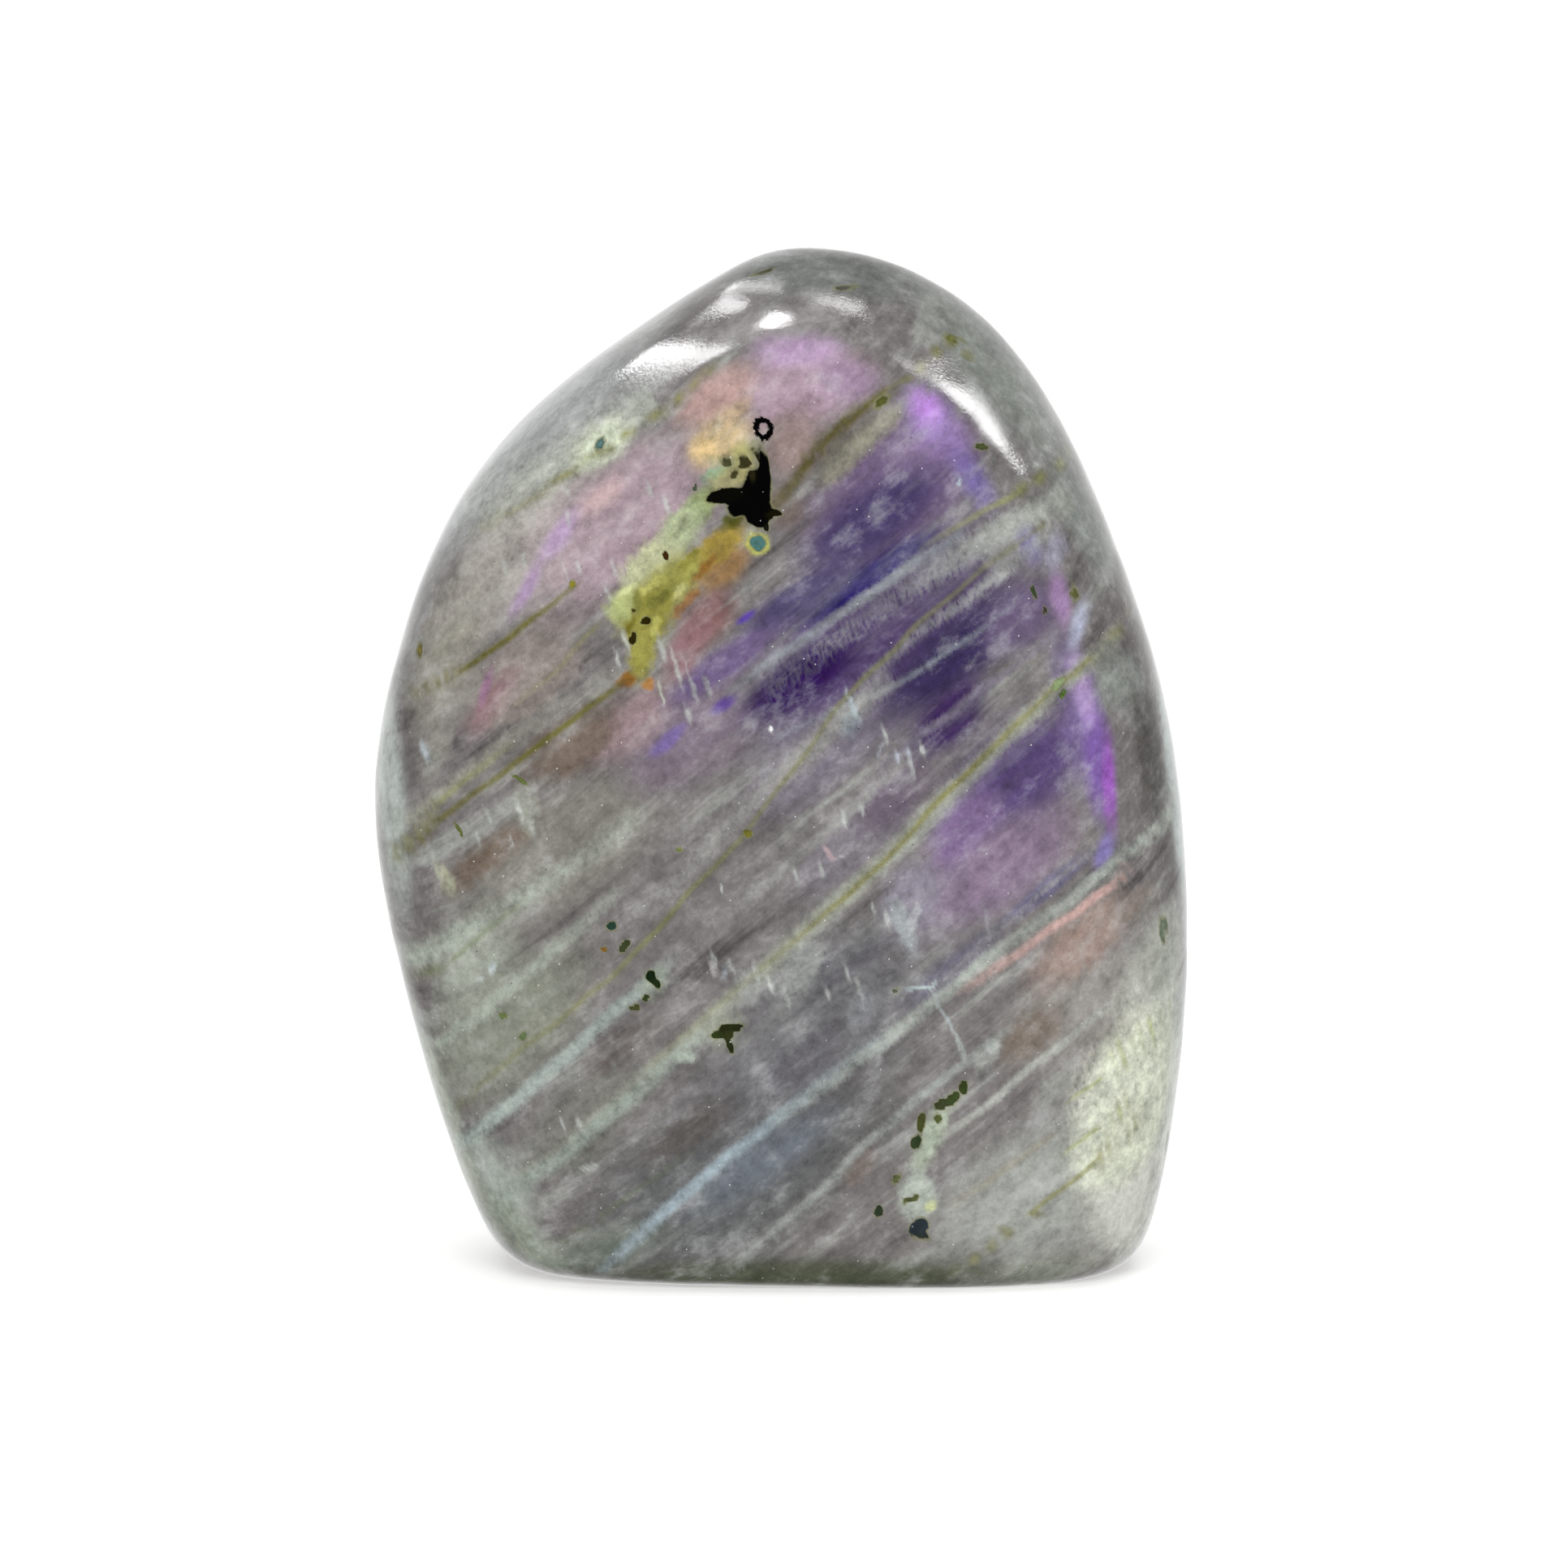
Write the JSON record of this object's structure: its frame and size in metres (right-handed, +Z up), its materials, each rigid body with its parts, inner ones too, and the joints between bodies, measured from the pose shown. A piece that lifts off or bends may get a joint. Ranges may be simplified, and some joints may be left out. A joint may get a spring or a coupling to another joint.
{
  "type": "polished labradorite freeform",
  "caption": "Free-standing polished stone with a domed front, soft ground shoulders, an off-centre crown and a flat base that it stands on.",
  "frame": {"origin": "centre of the stone's plan box, on the level that its flat base stands on", "axes": "+Z up, +X to the right seen from the front, -Y out of the domed front face"},
  "size_m": [0.0622, 0.034, 0.0783],
  "materials": {
    "labradorite": "high polish, mauve grey with violet flash, pale veins and olive lines"
  },
  "bodies": {
    "root": {"stone": "labradorite"}
  },
  "joints": []
}
